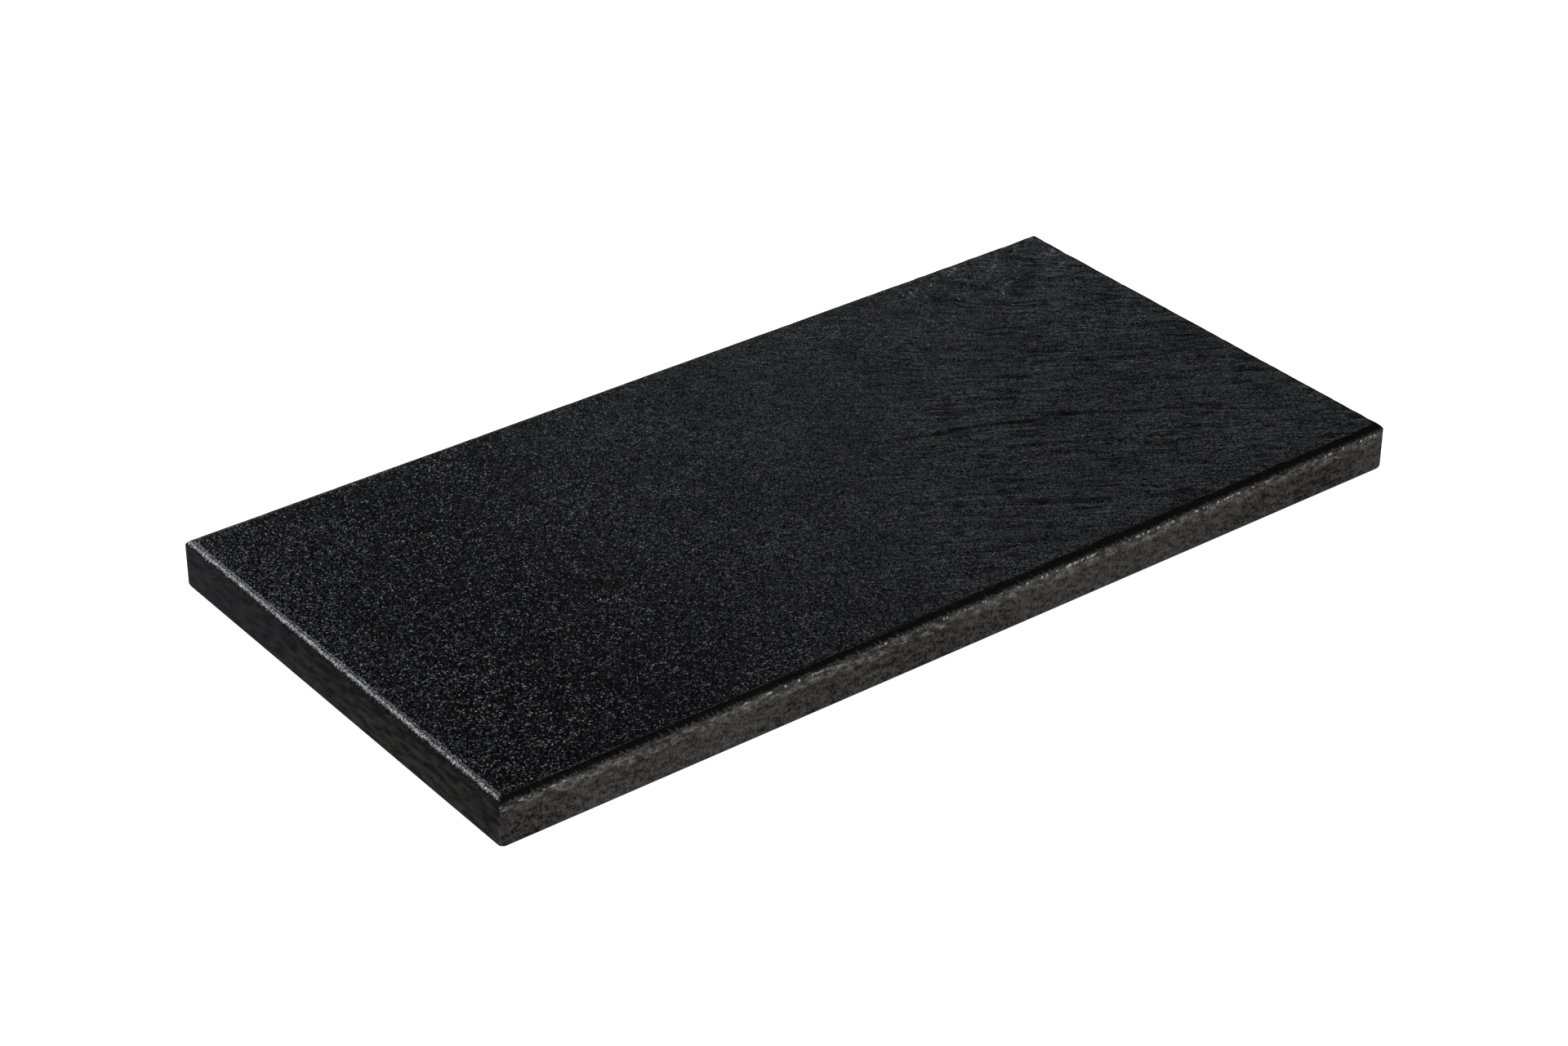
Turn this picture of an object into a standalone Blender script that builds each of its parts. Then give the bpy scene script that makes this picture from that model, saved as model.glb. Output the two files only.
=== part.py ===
"""Basalt massage slab: one flat, rectangular piece of solid stone.

Metres, +Z up. The origin is the middle of the underside, +X runs along the
length and +Y across the width. The stone is sawn to size, the edges round its
upper face are eased to a quarter-round, and its other edges only have the
sharpness taken off.
"""

import bpy
import bmesh

# Driving dimensions.
LENGTH = 0.400
WIDTH = 0.200
THICKNESS = 0.019
TOP_EDGE_RADIUS = 0.0020  # round the upper face
BASE_EDGE_RADIUS = 0.0012  # round the underside
CORNER_RADIUS = 0.0012  # the four upright corners
EDGE_SEGMENTS = 6  # facets in each quarter-round

BASALT_COLOUR = (0.028, 0.028, 0.030, 1.0)
BASALT_ROUGHNESS = 0.55


def clear_scene():
    for obj in list(bpy.data.objects):
        bpy.data.objects.remove(obj, do_unlink=True)


def stone_material():
    material = bpy.data.materials.new("basalt")
    material.use_nodes = True
    shader = material.node_tree.nodes["Principled BSDF"]
    shader.inputs["Base Color"].default_value = BASALT_COLOUR
    shader.inputs["Roughness"].default_value = BASALT_ROUGHNESS
    shader.inputs["Metallic"].default_value = 0.0
    material.diffuse_color = BASALT_COLOUR
    return material


def edge_radius(edge):
    """The rounding that one edge of the sawn block gets, told by the heights of its two ends."""
    low, high = sorted(vert.co.z for vert in edge.verts)
    if low > THICKNESS / 2:
        return TOP_EDGE_RADIUS
    if high < THICKNESS / 2:
        return BASE_EDGE_RADIUS
    return CORNER_RADIUS


def sawn_block(widest_radius):
    """A sharp-edged block on its underside, with each edge's rounding as its bevel weight."""
    shape = bmesh.new()
    bmesh.ops.create_cube(shape, size=1.0)
    bmesh.ops.scale(shape, vec=(LENGTH, WIDTH, THICKNESS), verts=shape.verts)
    bmesh.ops.translate(shape, vec=(0, 0, THICKNESS / 2), verts=shape.verts)
    weight = shape.edges.layers.float.new("bevel_weight_edge")
    for edge in shape.edges:
        edge[weight] = edge_radius(edge) / widest_radius
    mesh = bpy.data.meshes.new("basalt_slab")
    shape.to_mesh(mesh)
    shape.free()
    return mesh


def basalt_slab():
    """The whole stone: a sawn block with its edges rounded."""
    widest_radius = max(TOP_EDGE_RADIUS, BASE_EDGE_RADIUS, CORNER_RADIUS)
    mesh = sawn_block(widest_radius)
    mesh.materials.append(stone_material())
    mesh.shade_smooth()
    slab = bpy.data.objects.new("basalt_slab", mesh)
    bpy.context.scene.collection.objects.link(slab)
    rounding = slab.modifiers.new("rounded_edges", "BEVEL")
    rounding.limit_method = "WEIGHT"
    rounding.width = widest_radius
    rounding.segments = EDGE_SEGMENTS
    rounding.harden_normals = True
    return slab


clear_scene()
basalt_slab()
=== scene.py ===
import math

import bpy
import numpy as np
from mathutils import Matrix, Vector


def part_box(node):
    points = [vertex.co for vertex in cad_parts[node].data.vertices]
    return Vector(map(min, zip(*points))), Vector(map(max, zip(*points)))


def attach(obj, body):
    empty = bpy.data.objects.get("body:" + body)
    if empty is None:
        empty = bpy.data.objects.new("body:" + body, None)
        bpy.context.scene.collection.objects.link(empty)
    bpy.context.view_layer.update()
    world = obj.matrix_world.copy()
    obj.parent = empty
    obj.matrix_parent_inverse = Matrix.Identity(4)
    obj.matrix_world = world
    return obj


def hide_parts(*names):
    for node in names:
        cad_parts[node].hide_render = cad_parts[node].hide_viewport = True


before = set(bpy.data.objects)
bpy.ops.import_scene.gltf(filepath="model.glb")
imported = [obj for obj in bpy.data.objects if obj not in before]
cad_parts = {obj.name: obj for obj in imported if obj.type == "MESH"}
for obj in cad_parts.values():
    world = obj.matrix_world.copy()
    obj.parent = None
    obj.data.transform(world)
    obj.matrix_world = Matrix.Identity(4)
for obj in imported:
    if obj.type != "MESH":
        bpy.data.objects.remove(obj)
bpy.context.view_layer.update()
slabLow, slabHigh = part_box("basalt_slab")
slabSize = slabHigh - slabLow
mm = 0.001


cameraSetup = {
    "lens": 84.4,  # on a 36 mm wide sensor
    "azimuth": -37.94,  # degrees round from straight in front
    "elevation": 31.23,
    "distance": 1.3351,  # metres from the aim point
    "aim": (-0.0136, -0.0074, 0.0095),
    "roll": 0.36,  # degrees, right side up
}


def addCamera(setup):
    turn, lift = math.radians(setup["azimuth"]), math.radians(setup["elevation"])
    towardsCamera = Vector(
        (math.sin(turn) * math.cos(lift), -math.cos(turn) * math.cos(lift), math.sin(lift))
    )
    data = bpy.data.cameras.new("productCamera")
    data.lens = setup["lens"]
    data.sensor_width = 36
    camera = bpy.data.objects.new("productCamera", data)
    bpy.context.scene.collection.objects.link(camera)
    aimed = towardsCamera.to_track_quat("Z", "Y").to_matrix().to_4x4()
    place = Matrix.Translation(Vector(setup["aim"]) + towardsCamera * setup["distance"])
    camera.matrix_world = place @ aimed @ Matrix.Rotation(math.radians(setup["roll"]), 4, "Z")
    bpy.context.scene.camera = camera


addCamera(cameraSetup)
print("camera placed")


def smoothNoise(x, y, seed):
    table = np.random.default_rng(seed).random((256, 256))
    column, row = np.floor(x).astype(int), np.floor(y).astype(int)
    shareX, shareY = x - column, y - row
    shareX = shareX * shareX * (3 - 2 * shareX)
    shareY = shareY * shareY * (3 - 2 * shareY)
    near = table[column & 255, row & 255] * (1 - shareY) + table[column & 255, (row + 1) & 255] * shareY
    column = column + 1
    far = table[column & 255, row & 255] * (1 - shareY) + table[column & 255, (row + 1) & 255] * shareY
    return near * (1 - shareX) + far * shareX - 0.5


def layeredNoise(x, y, size, layers, seed):
    # each layer is half as large and half as strong, and turned so that no grid shows
    total, share = 0, 1
    for layer in range(layers):
        turned = 0.6 + layer * 1.1
        acrossX = (x * math.cos(turned) + y * math.sin(turned)) / size
        acrossY = (y * math.cos(turned) - x * math.sin(turned)) / size
        total = total + share * smoothNoise(acrossX + 31.7, acrossY + 17.3, seed + layer)
        size, share = size / 2, share / 2
    return total


def blendStep(low, high, value):
    share = np.clip((value - low) / (high - low), 0, 1)
    return share * share * (3 - 2 * share)


rivenFace = {
    "layerSlant": 1.5,  # the split layers cross the face at this slant
    "layerCurl": 4.1,  # and run steeper towards the back edge
    "layerRun": (0.79, -0.61),  # roughly the way along them
    "splitEdge": 52 * mm,  # past here along the length the face is split, left of it only grainy
    "splitLean": 0.66,  # how far that line leans to the right towards the back
    "splitBlend": 40 * mm,
    "waveWidth": 3.4 * mm,  # the broadest waves, across the layers
    "waveReach": 22 * mm,  # and along them
    "waveHeight": 0.50 * mm,
    "layerSpacing": 8 * mm,  # between the low steps of neighbouring layers
    "layerRise": 0.14,  # share of the spacing that the step itself takes
    "layerHeight": 0.50 * mm,
    "layerWander": 5 * mm,
    "wanderSize": 38 * mm,
    "patchSize": 30 * mm,  # the steps come and go in patches
    "swellSize": 45 * mm,
    "swellHeight": 0.25 * mm,
    "grainSize": 2.6 * mm,
    "grainHeight": 0.07 * mm,
    "cleftWidth": 0.55 * mm,
    "cleftFade": 4.0 * mm,
    "cleftShadeStrength": 2.0,  # how dark the painted shade at the foot of a 1 mm step gets
    "clefts": [  # steps where a layer broke off: points along the foot in mm, drop in mm
        {"points": [(42, 3), (61, -3), (80, -9), (92, -15), (106, -21), (111, -30)], "drop": 0.5},
        {"points": [(98, -14), (110, -20), (124, -29), (133, -35), (139, -42)], "drop": 0.42},
        {"points": [(154, -48), (164, -56), (171, -62), (180, -67)], "drop": 0.34},
        {"points": [(143, 93), (147, 84), (154, 72), (163, 60)], "drop": 0.3},
        {"points": [(50, -68), (62, -76), (75, -83), (90, -92)], "drop": -0.36},
        {"points": [(84, 17), (105, 1), (125, -12), (146, -25)], "drop": -0.34},
        {"points": [(110, 32), (128, 17), (146, 5), (170, -6), (195, -15)], "drop": 0.34},
        {"points": [(20, -36), (40, -44), (58, -52), (75, -57)], "drop": 0.24},
        {"points": [(150, 12), (165, 2), (180, -7), (193, -12)], "drop": 0.26},
    ],
}


def splitShare(x, y, face):
    # 0 on the grainy part of the face, 1 on the split part
    past = x - face["splitEdge"] - face["splitLean"] * y
    return blendStep(-face["splitBlend"], face["splitBlend"], past)


def layerPlan(x, y, face):
    # distance across the split layers, growing to the back right, and distance along them
    back = np.clip(y, 0, None)
    across = x + face["layerSlant"] * y - face["layerCurl"] * back * back
    runX, runY = face["layerRun"]
    return across / math.hypot(1, face["layerSlant"]), runX * x + runY * y


def followLine(x, y, points):
    # distance from a bent line, the same with a sign for its side, and how far along it, from 0 to 1
    nearest, side, along, done = np.full(x.shape, 1.0), np.zeros(x.shape), np.zeros(x.shape), 0
    for start, end in zip(points, points[1:]):
        length = (end - start).length
        way = (end - start) / length
        fromX, fromY = x - start.x, y - start.y
        reach = np.clip(fromX * way.x + fromY * way.y, 0, length)
        awayX, awayY = fromX - reach * way.x, fromY - reach * way.y
        distance = np.hypot(awayX, awayY)
        closer = distance < nearest
        nearest = np.where(closer, distance, nearest)
        side = np.where(closer, way.x * awayY - way.y * awayX, side)
        along = np.where(closer, done + reach, along)
        done += length
    return nearest, side, along / done


def cleftRelief(x, y, cleft, face):
    # a step, high behind its line and low in front, that eases out all round; and how dark the painted
    # shade at its foot is
    nearest, side, along = followLine(x, y, [Vector(point) * mm for point in cleft["points"]])
    strength = np.sqrt(np.sin(math.pi * np.clip(along, 0, 1)).clip(0))
    fade = np.exp(-((nearest / face["cleftFade"]) ** 2))
    relief = 0.5 * cleft["drop"] * mm * np.tanh(side / face["cleftWidth"]) * fade * strength
    foot = np.exp(-((nearest / face["cleftWidth"]) ** 2))
    return relief, face["cleftShadeStrength"] * max(cleft["drop"], 0) * strength * foot


def rivenRelief(x, y, face):
    across, along = layerPlan(x, y, face)
    across = across + face["layerWander"] * layeredNoise(x, y, face["wanderSize"], 2, 13)
    wave, share = 0, 1
    for layer in range(3):  # each set of waves is finer, shorter and lower than the one before
        width, reach = face["waveWidth"] / 1.6 ** layer, face["waveReach"] / 1.8 ** layer
        wave = wave + share * smoothNoise(across / width + 90, along / reach + 90, 15 + layer)
        share *= 0.6
    saw, rise = across / face["layerSpacing"] % 1, face["layerRise"]
    saw = np.where(saw > rise, (saw - rise) / (1 - rise), 1 - saw / rise) - 0.5
    patchy = blendStep(-0.1, 0.25, layeredNoise(x, y, face["patchSize"], 2, 21))
    relief = splitShare(x, y, face) * (face["waveHeight"] * wave + face["layerHeight"] * saw * patchy)
    cleftShade = 0
    for cleft in face["clefts"]:
        step, shade = cleftRelief(x, y, cleft, face)
        relief, cleftShade = relief + step, cleftShade + shade
    relief = relief + face["swellHeight"] * layeredNoise(x, y, face["swellSize"], 3, 31)
    return relief + face["grainHeight"] * layeredNoise(x, y, face["grainSize"], 2, 41), cleftShade


slabShape = {
    "cell": 1.12 * mm,  # mesh cell on the face and along the sides
    "rimRadius": 2.0 * mm,
    "baseRadius": 1.2 * mm,
    "cornerRadius": 1.0 * mm,
    "rimRows": 5,
    "baseRows": 2,
    "sideRows": 13,
    "faceDrop": 0.12 * mm,  # the face's relief lies about this far under the sawn height
    "edgeRelief": 0.35,  # share of the relief that is left at the edge
    "fullRelief": 6 * mm,  # how far in from the edge all of it is there
    "shoulder": 2.2 * mm,  # the face bends down this far in from the edge
    "shoulderDrop": 0.38 * mm,
    "rimWear": 0.5 * mm,
    "nickSize": 3.2 * mm,
    "wearBand": (3.4 * mm, 1.2 * mm),  # this far under the top the wear starts, and is full
    "sideRelief": 0.08 * mm,
    "sawMarkSize": 7 * mm,
    "turnReach": 2.5 * mm,  # points this far in from an edge still count as turned towards it
    "knock": 2.2 * mm,  # the lower front left corner is knocked off
}


def ringProfile(shape):
    # inset and height of each ring, from the underside up to the riven face
    rows = []
    for row in range(shape["baseRows"] + 1):
        turn = math.pi / 2 * row / shape["baseRows"]
        inset, rise = shape["baseRadius"] * (1 - math.sin(turn)), shape["baseRadius"] * (1 - math.cos(turn))
        rows.append((inset, rise))
    lowest, highest = shape["baseRadius"], slabSize.z - shape["rimRadius"]
    for row in range(1, shape["sideRows"]):
        rows.append((0, lowest + (highest - lowest) * row / shape["sideRows"]))
    for row in range(shape["rimRows"] + 1):
        turn = math.pi / 2 * row / shape["rimRows"]
        inset, rise = shape["rimRadius"] * (1 - math.cos(turn)), shape["rimRadius"] * math.sin(turn)
        rows.append((inset, highest + rise))
    return rows


def roundCorners(x, y, halfLength, halfWidth, radius):
    # points past a corner's centre both ways move onto its arc
    pastX, pastY = np.abs(x) - (halfLength - radius), np.abs(y) - (halfWidth - radius)
    corner = (pastX > 0) & (pastY > 0)
    reach = np.where(corner, np.maximum(np.hypot(pastX, pastY), 1e-9), 1)
    newX = np.sign(x) * (halfLength - radius + pastX * radius / reach)
    newY = np.sign(y) * (halfWidth - radius + pastY * radius / reach)
    return np.where(corner, newX, x), np.where(corner, newY, y)


def turnedOut(x, y, reach):
    # the level direction in which a point near the outline faces out
    outX = np.sign(x) * np.clip(1 - (slabSize.x / 2 - np.abs(x)) / reach, 0, 1)
    outY = np.sign(y) * np.clip(1 - (slabSize.y / 2 - np.abs(y)) / reach, 0, 1)
    length = np.maximum(np.hypot(outX, outY), 1e-6)
    return outX / length, outY / length


def shapeStone(points, shape, face):
    x, y, z = points[:, 0].copy(), points[:, 1].copy(), points[:, 2].copy()
    edge = np.minimum(slabSize.x / 2 - np.abs(x), slabSize.y / 2 - np.abs(y))
    upward = blendStep(slabSize.z - shape["rimRadius"], slabSize.z, z)
    share = shape["edgeRelief"] + (1 - shape["edgeRelief"]) * blendStep(0, shape["fullRelief"], edge)
    bend = np.clip(1 - edge / shape["shoulder"], 0, 1) ** 2 * shape["shoulderDrop"]
    relief, cleftShade = rivenRelief(x, y, face)
    z = z + upward * (share * relief - shape["faceDrop"] - bend)

    # nicks in the rim, and the low relief of the sawn sides, both along the outline
    nicks = np.clip(layeredNoise(x + y, z, shape["nickSize"], 3, 51), 0, 1)
    wearLow, wearFull = shape["wearBand"]
    worn = blendStep(slabSize.z - wearLow, slabSize.z - wearFull, z) * (1 - 0.6 * upward)
    onSide = (edge < 0.6 * mm) & (z > shape["baseRadius"])
    sawn = np.where(onSide, np.abs(layeredNoise(x + y, 1.4 * z, shape["sawMarkSize"], 3, 61)), 0)
    inward = shape["rimWear"] * worn * nicks + shape["sideRelief"] * sawn
    outX, outY = turnedOut(x, y, shape["turnReach"])
    x, y = x - inward * outX, y - inward * outY

    cornerAway = (x + slabSize.x / 2) + (y + slabSize.y / 2) + z * 0.8
    push = np.clip(shape["knock"] - cornerAway, 0, None) / 2
    return np.stack([x + push, y + push, z], 1), upward * cleftShade


def outlineWalk(columns, rows):
    # columns and rows of the grid's edge once round, from the front left corner
    column = [np.arange(columns), np.full(rows, columns), np.arange(columns, 0, -1), np.zeros(rows, int)]
    row = [np.zeros(columns, int), np.arange(rows), np.full(columns, rows), np.arange(rows, 0, -1)]
    return np.concatenate(column), np.concatenate(row)


def slabPoints(stepX, stepY, walk, profile, shape):
    # the grid of the face, then one ring after another from the underside up
    halfLength, halfWidth = slabSize.x / 2, slabSize.y / 2
    gridX, gridY = np.meshgrid(stepX, stepY, indexing="ij")
    inset, level = profile[-1]
    x, y = gridX.ravel() * (halfLength - inset), gridY.ravel() * (halfWidth - inset)
    points = [np.stack([x, y, np.full(len(x), level)], 1)]
    for inset, level in profile[:-1]:
        length, width = halfLength - inset, halfWidth - inset
        x, y = stepX[walk[0]] * length, stepY[walk[1]] * width
        x, y = roundCorners(x, y, length, width, shape["cornerRadius"])
        points.append(np.stack([x, y, np.full(len(x), level)], 1))
    return np.concatenate(points)


def slabFaces(gridIndex, ringIndex):
    corners = [gridIndex[:-1, :-1], gridIndex[1:, :-1], gridIndex[1:, 1:], gridIndex[:-1, 1:]]
    quads = [np.stack(corners, -1).reshape(-1, 4)]
    for lower, upper in zip(ringIndex, ringIndex[1:]):
        quads.append(np.stack([lower, np.roll(lower, -1), np.roll(upper, -1), upper], 1))
    return np.concatenate(quads).tolist() + [ringIndex[0][::-1].tolist()]


def markPoints(mesh, ringIndex, cleftShade, shape):
    # for the materials: which points lie on the rim, how far round the outline they are, and the painted
    # shade at the foot of the clefts
    rim, alongRim = np.zeros(len(mesh.vertices)), np.zeros(len(mesh.vertices))
    for number, ring in enumerate(ringIndex):
        rim[ring] = number >= len(ringIndex) - 1 - shape["rimRows"]
        alongRim[ring] = np.arange(len(ring)) * shape["cell"]
    marks = {"rim": rim, "alongRim": alongRim, "cleft": np.clip(cleftShade, 0, 1)}
    for name, values in marks.items():
        mesh.attributes.new(name, "FLOAT", "POINT").data.foreach_set("value", values)


def buildSlab(shape, face):
    columns, rows = round(slabSize.x / shape["cell"]), round(slabSize.y / shape["cell"])
    profile, walk = ringProfile(shape), outlineWalk(columns, rows)
    around = len(walk[0])
    gridIndex = np.arange((columns + 1) * (rows + 1)).reshape(columns + 1, rows + 1)
    ringIndex = [gridIndex.size + np.arange(around) + ring * around for ring in range(len(profile) - 1)]
    ringIndex.append(gridIndex[walk])

    stepX, stepY = np.linspace(-1, 1, columns + 1), np.linspace(-1, 1, rows + 1)
    points, cleftShade = shapeStone(slabPoints(stepX, stepY, walk, profile, shape), shape, face)
    faces = slabFaces(gridIndex, ringIndex)
    mesh = bpy.data.meshes.new("basalt_slab_stone")
    mesh.from_pydata(points.tolist(), [], faces)
    mesh.shade_smooth()
    markPoints(mesh, ringIndex, cleftShade, shape)

    # the face and the rim are riven, the rings under them and the underside are sawn
    slots = np.zeros(len(faces), int)
    slots[columns * rows:-around * shape["rimRows"] - 1] = 1
    slots[-1] = 1
    mesh.materials.append(rivenSkinMaterial(rivenSkin))
    mesh.materials.append(sawnSideMaterial(sawnSide))
    mesh.polygons.foreach_set("material_index", slots)
    return mesh


def newGroup(name, inputs, outputs):
    group = bpy.data.node_groups.new(name, "ShaderNodeTree")
    for label, value in inputs.items():
        socket = group.interface.new_socket(name=label, in_out="INPUT", socket_type="NodeSocketFloat")
        socket.default_value = value
    for label, kind in outputs.items():
        group.interface.new_socket(name=label, in_out="OUTPUT", socket_type=kind)
    return group, group.nodes.new("NodeGroupInput").outputs, group.nodes.new("NodeGroupOutput").inputs


def addNode(tree, kind, links=None, **settings):
    node = tree.nodes.new(kind)
    for name, value in settings.items():
        setattr(node, name, value)
    for socket, source in (links or {}).items():
        if isinstance(source, bpy.types.NodeSocket):
            tree.links.new(source, node.inputs[socket])
        else:
            node.inputs[socket].default_value = source
    return node


def maths(tree, operation, first, second=None):
    values = {0: first} if second is None else {0: first, 1: second}
    return addNode(tree, "ShaderNodeMath", values, operation=operation).outputs[0]


def total(tree, terms):
    result = terms[0]
    for term in terms[1:]:
        result = maths(tree, "ADD", result, term)
    return result


def product(tree, terms):
    result = terms[0]
    for term in terms[1:]:
        result = maths(tree, "MULTIPLY", result, term)
    return result


def ramp(tree, value, low, high, fromValue=0.0, toValue=1.0):
    links = {"Value": value, "From Min": low, "From Max": high, "To Min": fromValue, "To Max": toValue}
    return addNode(tree, "ShaderNodeMapRange", links, interpolation_type="SMOOTHSTEP").outputs["Result"]


def centred(tree, value):
    return maths(tree, "SUBTRACT", value, 0.5)


def inverted(tree, value):
    return maths(tree, "SUBTRACT", 1.0, value)


def mixColour(tree, share, first, second):
    return addNode(tree, "ShaderNodeMix", {0: share, 6: first, 7: second}, data_type="RGBA").outputs[2]


def separate(tree, vector):
    return addNode(tree, "ShaderNodeSeparateXYZ", {0: vector}).outputs


def combine(tree, x, y):
    return addNode(tree, "ShaderNodeCombineXYZ", {0: x, 1: y}).outputs[0]


def objectPlace(tree):
    return addNode(tree, "ShaderNodeTexCoord").outputs["Object"]


def heightInMm(tree, place):
    return maths(tree, "MULTIPLY", separate(tree, place)["Z"], 1000.0)


def longSides(tree, low, high):
    # 1 where the stone faces the front or the back, 0 on its ends
    outward = addNode(tree, "ShaderNodeTexCoord").outputs["Normal"]
    return ramp(tree, maths(tree, "ABSOLUTE", separate(tree, outward)["Y"]), low, high)


def noiseAt(tree, place, scale, detail=2.0, roughness=0.5):
    links = {"Vector": place, "Scale": scale, "Detail": detail, "Roughness": roughness}
    return addNode(tree, "ShaderNodeTexNoise", links).outputs["Fac"]


def grainGroup():
    # fine stone grain: a rough height, and crystal faces that each lean their own way
    group, given, result = newGroup(
        "stoneGrain",
        {"Grain Size": 1.0, "Roughness": 0.6, "Crystal Size": 0.6},
        {"Height": "NodeSocketFloat", "Lean": "NodeSocketVector", "Crystal": "NodeSocketFloat"},
    )
    place = objectPlace(group)
    scale = maths(group, "DIVIDE", 1000.0, given["Grain Size"])
    height = noiseAt(group, place, scale, 1.5, given["Roughness"])
    scale = maths(group, "DIVIDE", 1000.0, given["Crystal Size"])
    cells = addNode(group, "ShaderNodeTexVoronoi", {"Vector": place, "Scale": scale}).outputs["Color"]
    lean = addNode(group, "ShaderNodeVectorMath", {0: cells, 1: (0.5, 0.5, 0.5)}, operation="SUBTRACT")
    crystal = addNode(group, "ShaderNodeSeparateColor", {"Color": cells}).outputs["Blue"]
    group.links.new(height, result["Height"])
    group.links.new(lean.outputs[0], result["Lean"])
    group.links.new(crystal, result["Crystal"])
    return group


def cloudGroup():
    # soft light and dark patches
    group, given, result = newGroup(
        "cloudPatches", {"Patch Size": 30.0, "Detail": 3.0, "Sharpness": 0.5}, {"Cloud": "NodeSocketFloat"}
    )
    scale = maths(group, "DIVIDE", 1000.0, given["Patch Size"])
    noise = noiseAt(group, objectPlace(group), scale, given["Detail"], 0.6)
    half = maths(group, "SUBTRACT", 0.5, maths(group, "MULTIPLY", given["Sharpness"], 0.4))
    low, high = maths(group, "SUBTRACT", 0.5, half), maths(group, "ADD", 0.5, half)
    group.links.new(ramp(group, noise, low, high), result["Cloud"])
    return group


def skinEdgeGroup():
    # where the dark skin of the face ends: raggedly, and on the long sides with bright chips along it
    group, given, result = newGroup(
        "skinEdge", {"Level": 17.6, "Wander": 1.4}, {"Skin": "NodeSocketFloat", "Chip": "NodeSocketFloat"}
    )
    place = objectPlace(group)
    parts = separate(group, place)
    run = maths(group, "ADD", parts["X"], parts["Y"])
    upright = combine(group, run, maths(group, "MULTIPLY", parts["Z"], 0.35))
    above = maths(group, "SUBTRACT", heightInMm(group, place), given["Level"])
    ragged = centred(group, noiseAt(group, upright, 800.0, 3.0, 0.6))
    torn = total(group, [above, product(group, [ragged, given["Wander"], 2.0])])
    group.links.new(ramp(group, torn, -0.5, 0.3), result["Skin"])

    away = maths(group, "ABSOLUTE", maths(group, "ADD", above, 0.8))
    clumps = ramp(group, noiseAt(group, place, 28.0, 1.0), 0.38, 0.56)
    bits = ramp(group, noiseAt(group, upright, 800.0, 1.0), 0.57, 0.63)
    chips = product(group, [bits, ramp(group, away, 1.1, 0.5), clumps, longSides(group, 0.4, 0.7)])
    group.links.new(chips, result["Chip"])
    return group


grain, cloud, skinEdge = grainGroup(), cloudGroup(), skinEdgeGroup()
print("shader groups made")


def newMaterial(name):
    material = bpy.data.materials.new(name)
    material.use_nodes = True
    return material, material.node_tree, material.node_tree.nodes["Principled BSDF"]


def useGroup(tree, group, values):
    node = addNode(tree, "ShaderNodeGroup", node_tree=group)
    for label, value in values.items():
        node.inputs[label].default_value = value
    return node.outputs


def pointMark(tree, name):
    return addNode(tree, "ShaderNodeAttribute", attribute_name=name).outputs["Fac"]


def leanNormal(tree, normal, lean, amount):
    # tips the shading normal by a share of each crystal's own lean
    tipped = addNode(tree, "ShaderNodeVectorMath", {0: lean, "Scale": amount}, operation="SCALE").outputs[0]
    added = addNode(tree, "ShaderNodeVectorMath", {0: normal, 1: tipped}, operation="ADD").outputs[0]
    return addNode(tree, "ShaderNodeVectorMath", {0: added}, operation="NORMALIZE").outputs[0]


rimSkin = {
    "level": 17.4,  # mm above the underside where the dark skin ends
    "wander": 3.4,  # and how raggedly
    "chip": (0.75, 0.74, 0.72, 1),
}

rivenSkin = {
    "matrix": (0.0022, 0.0022, 0.0025, 1),
    # light crystals: partly real grain, partly painted glints
    "speckAndGlint": (0.50, 0.50, 0.53, 1),
    # painted shade at the foot of the cleft steps
    "paintedCleftShade": (0.002, 0.002, 0.002, 1),
    "bare": (0.075, 0.071, 0.067, 1),  # the rim's stone under the skin
    "peelSize": 1.2,  # mm, the pebbly grain of the face
    "peelHeight": (0.30, 0.25),  # on the grainy part and on the split part
    "crystalSize": 0.52,
    "calming": (-0.18, 0.07),  # from where to where along the stone the crystals settle
    "crystalLean": (0.30, 0.22),  # before they settle and after
    "rimCrystalLean": 0.38,
    "roughness": (0.28, 0.15),  # dullest and shiniest crystals
    "settledRoughness": 0.10,  # added where they have settled
    "rimRoughness": 0.10,
    "speckPower": (14.0, 6.0),  # the higher, the fewer light crystals
    # painted glints, brighter on the left and dimmer to the right
    "speckTone": (1.05, 0.52),
    "flockSize": 2.4,  # mm, how the light crystals flock
    "flockTone": (0.45, 1.8),
    "splitSpecks": 0.15,
    "splitTone": 0.075,  # how far the split part's mean colour is from matrix to speck and glint
    "sandTone": 0.22,
    "rimTone": 0.014,
    "patches": {"Patch Size": 26.0, "Detail": 3.0, "Sharpness": 0.7},
    "patchTone": (0.86, 1.14),
    "wrinkles": {"width": 1.8, "wander": 9.0, "stretch": 0.17, "detail": 4.0},  # mm across the layers
    # painted shade in the hollows of the folds and painted light on their ridges
    "wrinkleShadeTone": 0.26,
    "wrinkleHeight": 2.5,
    "creases": {"width": 5.5, "wander": 9.0, "stretch": 0.10, "detail": 2.0},
    "creaseWidth": 0.04,
    "creaseDepth": 0.30,
    # painted shade along the creases
    "creaseShade": 0.8,
    "streakSize": 0.6,  # mm, scratches across the worn rim
    "streakHeight": 0.10,
}


def splitMask(tree, place, face):
    # the same leaning boundary as splitShare
    parts = separate(tree, place)
    past = maths(tree, "SUBTRACT", parts["X"], maths(tree, "MULTIPLY", parts["Y"], face["splitLean"]))
    return ramp(tree, past, face["splitEdge"] - face["splitBlend"], face["splitEdge"] + face["splitBlend"])


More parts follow.
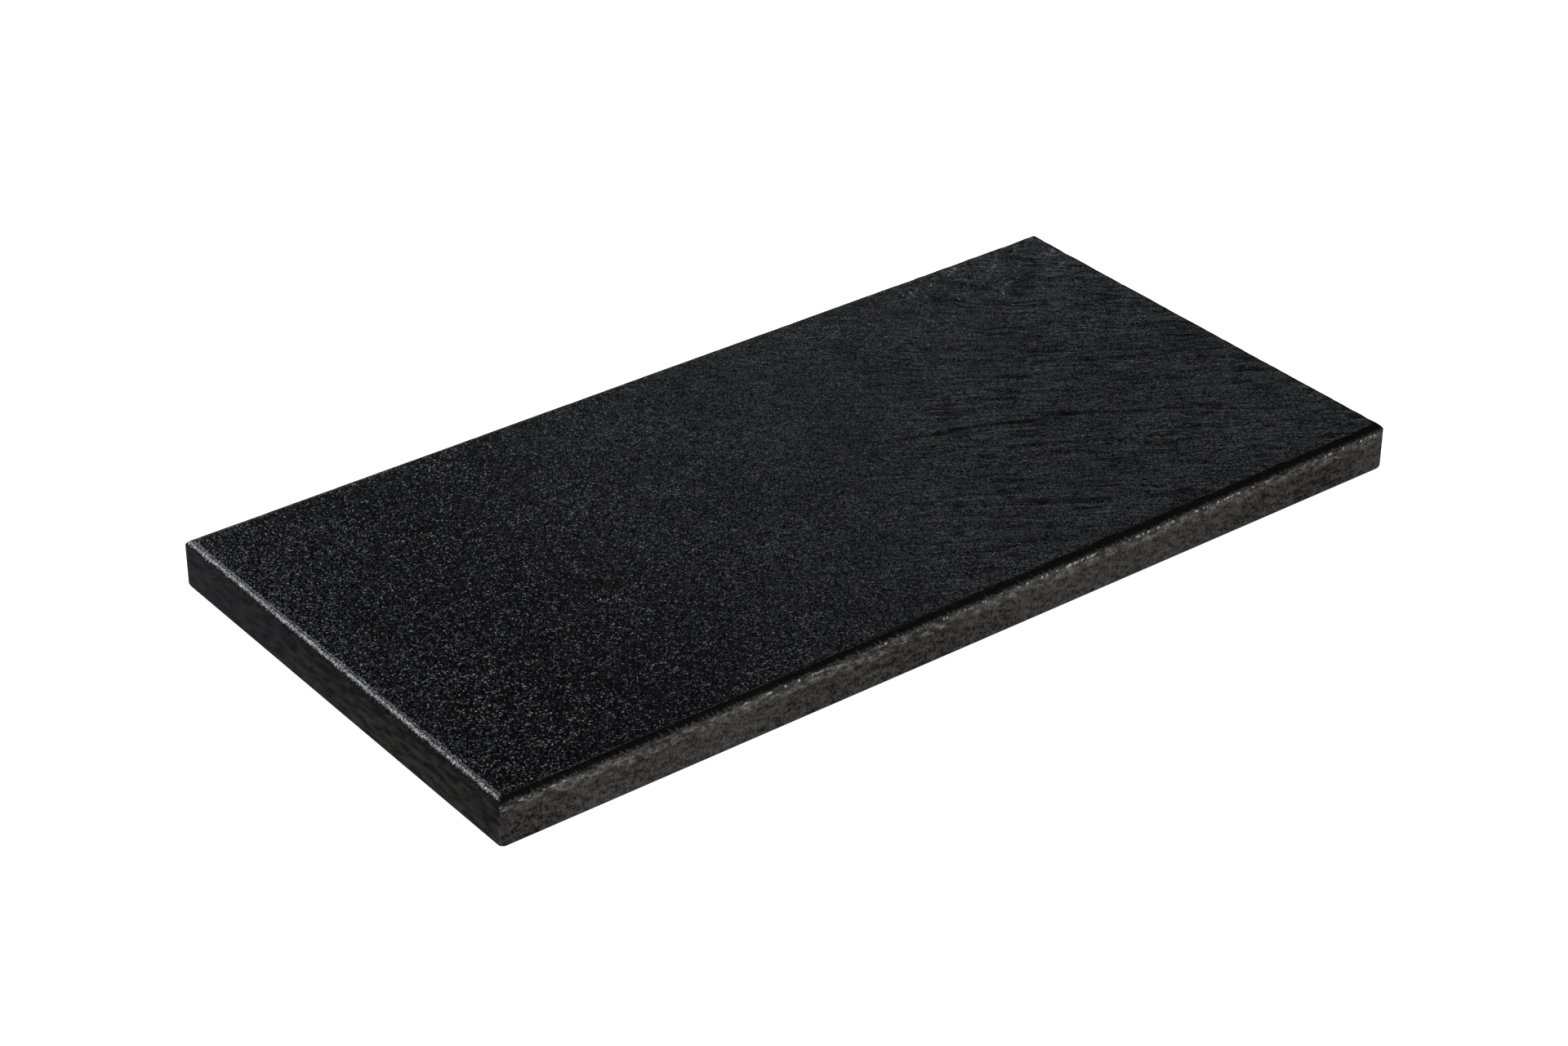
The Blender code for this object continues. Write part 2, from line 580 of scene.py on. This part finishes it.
def layerNoise(tree, place, face, lines):
    # noise drawn out along the split layers, in the same plan as layerPlan
    parts = separate(tree, place)
    back = maths(tree, "MAXIMUM", parts["Y"], 0.0)
    slanted = maths(tree, "MULTIPLY", parts["Y"], face["layerSlant"])
    curled = product(tree, [back, back, -face["layerCurl"]])
    wander = maths(tree, "MULTIPLY", noiseAt(tree, place, 90.0, 2.0), lines["wander"] * mm)
    across = total(tree, [parts["X"], slanted, curled, wander])
    across = maths(tree, "DIVIDE", across, math.hypot(1, face["layerSlant"]))
    runX, runY = face["layerRun"]
    along = maths(tree, "ADD", product(tree, [parts["X"], runX]), product(tree, [parts["Y"], runY]))
    stretched = combine(tree, across, maths(tree, "MULTIPLY", along, lines["stretch"]))
    return noiseAt(tree, stretched, 1000.0 / lines["width"], lines["detail"], 0.66)


def creaseMask(tree, place, split, look):
    # thin lines where a noise passes its middle value, in patches of the split part
    offMiddle = maths(tree, "ABSOLUTE", centred(tree, layerNoise(tree, place, rivenFace, look["creases"])))
    patches = ramp(tree, noiseAt(tree, place, 45.0, 1.0), 0.45, 0.6)
    return product(tree, [ramp(tree, offMiddle, look["creaseWidth"], 0.0), split, patches])


def rimStreaks(tree, place, look):
    upright = maths(tree, "MULTIPLY", separate(tree, place)["Z"], 0.2)
    outline = combine(tree, pointMark(tree, "alongRim"), upright)
    return noiseAt(tree, outline, 1000.0 / look["streakSize"], 2.0, 0.6)


def rivenTone(tree, place, crystal, wrinkles, calm, look):
    # from matrix to speck and glint: light crystals on the left, partly real grain and partly painted
    # glints; the folds of the layers, with painted shade in their hollows and painted light on their
    # ridges, and fine sand on the right
    flocks = noiseAt(tree, place, 1000.0 / look["flockSize"], 1.0)
    flocks = ramp(tree, flocks, 0.35, 0.65, *look["flockTone"])
    # light crystals, partly painted glints, rarest and brightest on the left
    specksAndGlints = maths(tree, "POWER", crystal, ramp(tree, calm, 0, 0.7, *look["speckPower"]))
    specksAndGlints = product(tree, [specksAndGlints, ramp(tree, calm, 0, 0.7, *look["speckTone"]), flocks])
    # painted shade in the hollows of the folds and painted light on their ridges
    folds = product(tree, [centred(tree, wrinkles), look["wrinkleShadeTone"]])
    split = total(tree, [folds, product(tree, [specksAndGlints, look["splitSpecks"]]), look["splitTone"]])
    sand = product(tree, [centred(tree, crystal), look["sandTone"], ramp(tree, calm, 0, 0.6)])
    return total(tree, [product(tree, [specksAndGlints, inverted(tree, calm)]), product(tree, [split, calm]), sand])


def rivenSkinMaterial(look):
    material, tree, shader = newMaterial("rivenSkin")
    place = objectPlace(tree)
    split, rim = splitMask(tree, place, rivenFace), pointMark(tree, "rim")
    offRim = inverted(tree, rim)
    calm = ramp(tree, separate(tree, place)["X"], *look["calming"])
    sizes = {"Grain Size": look["peelSize"], "Roughness": 0.45, "Crystal Size": look["crystalSize"]}
    fine = useGroup(tree, grain, sizes)
    wrinkles = layerNoise(tree, place, rivenFace, look["wrinkles"])
    crease = creaseMask(tree, place, split, look)

    peel = product(tree, [fine["Height"], ramp(tree, split, 0, 1, *look["peelHeight"])])
    folds = product(tree, [wrinkles, split, look["wrinkleHeight"]])
    faceHeight = total(tree, [peel, folds, product(tree, [crease, -look["creaseDepth"]])])
    rimHeight = product(tree, [rimStreaks(tree, place, look), look["streakHeight"]])
    height = total(tree, [product(tree, [faceHeight, offRim]), product(tree, [rimHeight, rim])])
    bump = addNode(tree, "ShaderNodeBump", {"Height": height, "Distance": mm, "Strength": 1.0}).outputs[0]
    lean = product(tree, [ramp(tree, calm, 0, 1, *look["crystalLean"]), offRim])
    lean = total(tree, [lean, product(tree, [rim, look["rimCrystalLean"]])])
    tree.links.new(leanNormal(tree, bump, fine["Lean"], lean), shader.inputs["Normal"])

    tone = rivenTone(tree, place, fine["Crystal"], wrinkles, calm, look)
    # painted shade darkens the crease lines
    creaseShaded = inverted(tree, maths(tree, "MULTIPLY", crease, look["creaseShade"]))
    patches = ramp(tree, useGroup(tree, cloud, look["patches"])["Cloud"], 0, 1, *look["patchTone"])
    tone = product(tree, [tone, creaseShaded, offRim, patches])
    tone = total(tree, [tone, product(tree, [rim, look["rimTone"]])])
    face = mixColour(tree, tone, look["matrix"], look["speckAndGlint"])
    # painted shade at the foot of each cleft step, from the cleft mark
    face = mixColour(tree, pointMark(tree, "cleft"), face, look["paintedCleftShade"])
    edge = useGroup(tree, skinEdge, {"Level": rimSkin["level"], "Wander": rimSkin["wander"]})
    bare = mixColour(tree, edge["Chip"], look["bare"], rimSkin["chip"])
    tree.links.new(mixColour(tree, edge["Skin"], bare, face), shader.inputs["Base Color"])

    roughness = ramp(tree, fine["Crystal"], 0.2, 0.9, *look["roughness"])
    settled = product(tree, [calm, look["settledRoughness"]])
    worn = product(tree, [rim, look["rimRoughness"]])
    tree.links.new(total(tree, [roughness, settled, worn]), shader.inputs["Roughness"])
    return material


sawnSide = {
    "dark": (0.014, 0.0135, 0.013, 1),
    "light": (0.135, 0.129, 0.122, 1),
    "marbling": {"size": 4.5, "squash": 2.0},  # mm along the side, and how flattened it is
    "marblingTone": 0.5,
    "patches": {"Patch Size": 40.0, "Detail": 2.0, "Sharpness": 0.8},
    "patchTone": 0.2,
    "speckle": {"Patch Size": 1.1, "Detail": 3.0, "Sharpness": 0.8},
    "speckleTone": 0.6,
    "upperTone": -0.22,  # darker close under the rim
    "plainTone": -0.25,
    "dust": (0.30, 0.285, 0.265, 1),  # in the scuffs of the long sides
    "veins": {"size": 4.0, "squash": 1.6},
    "bandLevel": 14.4,  # mm, middle of the scuffed band
    "bandWidth": 2.8,  # each way
    "bandWander": 6.0,
    "upperDust": 0.07,
    "endDark": (0.020, 0.0195, 0.0195, 1),
    "endLight": (0.120, 0.117, 0.116, 1),
    "endMarbling": {"size": 8.0, "squash": 3.2},
    "endMarblingTone": 0.9,
    "endPaintedLight": (-0.27, 0.09),  # painted light from the floor, paler downwards: at the top and at the foot
    "endTurn": (-0.04, 0.08),  # from where to where across the stone its ends turn from ruddy to bluish
    "ruddy": (0.090, 0.042, 0.050, 1),
    "ruddyShare": 0.45,
    "bluish": (0.058, 0.062, 0.078, 1),
    "skin": (0.011, 0.011, 0.012, 1),
    "grain": {"Grain Size": 0.8, "Roughness": 0.6, "Crystal Size": 0.5},
    "bumpHeight": 0.16,
    "scuffHeight": 0.1,
    "skinBump": 0.25,  # how much of both is left on the dark skin
    "crystalLean": 0.12,
    "roughness": (0.75, 0.28),  # of sawn stone and of skin
    "gloss": 0.2,
}


def marbleNoise(tree, place, look):
    # mottling drawn out along the sides, slanting a little
    parts = separate(tree, place)
    run = maths(tree, "ADD", parts["X"], parts["Y"])
    slant = maths(tree, "MULTIPLY", run, 0.25)
    height = maths(tree, "ADD", maths(tree, "MULTIPLY", parts["Z"], look["squash"]), slant)
    noise = noiseAt(tree, combine(tree, run, height), 1000.0 / look["size"], 4.0, 0.58)
    return ramp(tree, noise, 0.32, 0.68)


def scuffMask(tree, place, level, marbling, look):
    # broken wavy veins, densest a few millimetres under the rim
    wander = centred(tree, noiseAt(tree, place, 60.0, 2.0))
    wavy = maths(tree, "ADD", level, maths(tree, "MULTIPLY", wander, look["bandWander"]))
    away = maths(tree, "ABSOLUTE", maths(tree, "SUBTRACT", wavy, look["bandLevel"]))
    offVein = maths(tree, "ABSOLUTE", centred(tree, marbleNoise(tree, place, look["veins"])))
    veins = ramp(tree, offVein, 0.22, 0.0, 0.05, 0.95)
    return product(tree, [ramp(tree, away, look["bandWidth"], 0.3), ramp(tree, marbling, 0.2, 0.7), veins])


def endColour(tree, place, level, marbling, look):
    # painted light from the floor: the end is paler towards its foot
    paintedFloorLight = ramp(tree, level, 18.0, 2.0, *look["endPaintedLight"])
    streaks = product(tree, [marbleNoise(tree, place, look["endMarbling"]), look["endMarblingTone"]])
    colour = mixColour(tree, maths(tree, "ADD", streaks, paintedFloorLight), look["endDark"], look["endLight"])
    far = ramp(tree, separate(tree, place)["Y"], *look["endTurn"])
    colour = mixColour(tree, product(tree, [far, marbling]), colour, look["bluish"])
    blotches = ramp(tree, noiseAt(tree, place, 260.0, 2.0), 0.54, 0.66)
    ruddy = product(tree, [blotches, inverted(tree, far), look["ruddyShare"]])
    return mixColour(tree, ruddy, colour, look["ruddy"])


def sawnSideMaterial(look):
    material, tree, shader = newMaterial("sawnSide")
    place = objectPlace(tree)
    level, longSide = heightInMm(tree, place), longSides(tree, 0.5, 0.8)
    marbling = marbleNoise(tree, place, look["marbling"])
    tones = [
        product(tree, [marbling, look["marblingTone"]]),
        product(tree, [useGroup(tree, cloud, look["patches"])["Cloud"], look["patchTone"]]),
        product(tree, [useGroup(tree, cloud, look["speckle"])["Cloud"], look["speckleTone"]]),
        product(tree, [ramp(tree, level, 15.6, 17.4), look["upperTone"]]),
        look["plainTone"],
    ]
    stone = mixColour(tree, total(tree, tones), look["dark"], look["light"])
    scuffs = product(tree, [scuffMask(tree, place, level, marbling, look), longSide])
    upper = product(tree, [ramp(tree, level, 10.5, 14.5), ramp(tree, level, 17.2, 15.8), longSide])
    upper = maths(tree, "MULTIPLY", upper, look["upperDust"])
    stone = mixColour(tree, maths(tree, "ADD", scuffs, upper), stone, look["dust"])
    stone = mixColour(tree, longSide, endColour(tree, place, level, marbling, look), stone)
    edge = useGroup(tree, skinEdge, {"Level": rimSkin["level"], "Wander": rimSkin["wander"]})
    chipped = mixColour(tree, edge["Chip"], stone, rimSkin["chip"])
    tree.links.new(mixColour(tree, edge["Skin"], chipped, look["skin"]), shader.inputs["Base Color"])

    fine = useGroup(tree, grain, look["grain"])
    rough = product(tree, [fine["Height"], look["bumpHeight"]])
    height = maths(tree, "ADD", rough, maths(tree, "MULTIPLY", scuffs, look["scuffHeight"]))
    height = product(tree, [height, ramp(tree, edge["Skin"], 0, 1, 1.0, look["skinBump"])])
    bump = addNode(tree, "ShaderNodeBump", {"Height": height, "Distance": mm, "Strength": 1.0}).outputs[0]
    tree.links.new(leanNormal(tree, bump, fine["Lean"], look["crystalLean"]), shader.inputs["Normal"])
    tree.links.new(ramp(tree, edge["Skin"], 0, 1, *look["roughness"]), shader.inputs["Roughness"])
    shader.inputs["Specular IOR Level"].default_value = look["gloss"]
    return material


def addStone():
    stone = bpy.data.objects.new("basalt_slab_stone", buildSlab(slabShape, rivenFace))
    bpy.context.scene.collection.objects.link(stone)
    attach(stone, "root")
    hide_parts("basalt_slab")
    return stone


stone = addStone()
print("stone built:", len(stone.data.vertices), "points")

studio = {
    "floorSize": 8.0,
    "floorColour": (0.80, 0.80, 0.80, 1),
    "bounceColour": (0.30, 0.30, 0.30, 1),  # what the floor gives back to the stone
    "floorGlow": 1.0,  # a lit backdrop: seen, but casting nothing
    "ambient": 0.008,
}


def addFloor(setup):
    half = setup["floorSize"] / 2
    corners = [(-half, -half, 0), (half, -half, 0), (half, half, 0), (-half, half, 0)]
    mesh = bpy.data.meshes.new("floor")
    mesh.from_pydata(corners, [], [(0, 1, 2, 3)])
    material, tree, shader = newMaterial("paleFloor")
    seen = addNode(tree, "ShaderNodeLightPath").outputs["Is Camera Ray"]
    colour = mixColour(tree, seen, setup["bounceColour"], setup["floorColour"])
    tree.links.new(colour, shader.inputs["Base Color"])
    tree.links.new(ramp(tree, seen, 0, 1, 0.0, setup["floorGlow"]), shader.inputs["Emission Strength"])
    shader.inputs["Emission Color"].default_value = (1, 1, 1, 1)
    shader.inputs["Roughness"].default_value = 0.9
    shader.inputs["Specular IOR Level"].default_value = 0.0
    mesh.materials.append(material)
    floor = bpy.data.objects.new("floor", mesh)
    bpy.context.scene.collection.objects.link(floor)
    floor.location.z = slabLow.z - 0.2 * mm


def addWorld(setup):
    world = bpy.data.worlds.new("studio")
    world.use_nodes = True
    bpy.context.scene.world = world
    tree = world.node_tree
    seen = addNode(tree, "ShaderNodeLightPath").outputs["Is Camera Ray"]
    background = tree.nodes["Background"]
    tree.links.new(ramp(tree, seen, 0.0, 1.0, setup["ambient"], 1.0), background.inputs["Strength"])
    background.inputs["Color"].default_value = (1, 1, 1, 1)


coolLight, warmLight = (0.91, 0.93, 1.0), (1.0, 0.975, 0.95)
lights = {  # places in metres from the middle of the stone's underside; only shining ones cast highlights
    "rakingLight": {"place": (1.10, 1.40, 0.45), "size": (0.25, 0.25), "power": 54, "colour": coolLight},
    "backLeftStrip": {"place": (-0.50, 0.95, 0.78), "size": (0.9, 0.3), "power": 15.5, "colour": coolLight},
    "nearSpark": {"place": (-0.1, 0.5, 0.46), "size": (0.06, 0.06), "power": 0.08, "colour": coolLight},
    "endFill": {"place": (-1.60, 0.25, 0.12), "size": (0.6, 0.2), "power": 3.3, "colour": warmLight},
    "frontFill": {"place": (-0.33, -1.55, 0.13), "size": (1.2, 0.25), "power": 13.5, "colour": warmLight},
}
shining = ("backLeftStrip", "nearSpark")  # and these cast nothing else


def addLight(name, setup):
    data = bpy.data.lights.new(name, "AREA")
    data.shape = "RECTANGLE"
    data.size, data.size_y = setup["size"]
    data.energy = setup["power"]
    data.color = setup["colour"]
    light = bpy.data.objects.new(name, data)
    bpy.context.scene.collection.objects.link(light)
    light.location = setup["place"]
    light.rotation_euler = Vector(setup["place"]).to_track_quat("Z", "Y").to_euler()
    light.visible_camera = False
    light.visible_glossy = name in shining
    light.visible_diffuse = name not in shining


addFloor(studio)
addWorld(studio)
for name, setup in lights.items():
    addLight(name, setup)
bpy.context.scene.view_settings.view_transform = "Standard"
print("studio lit")
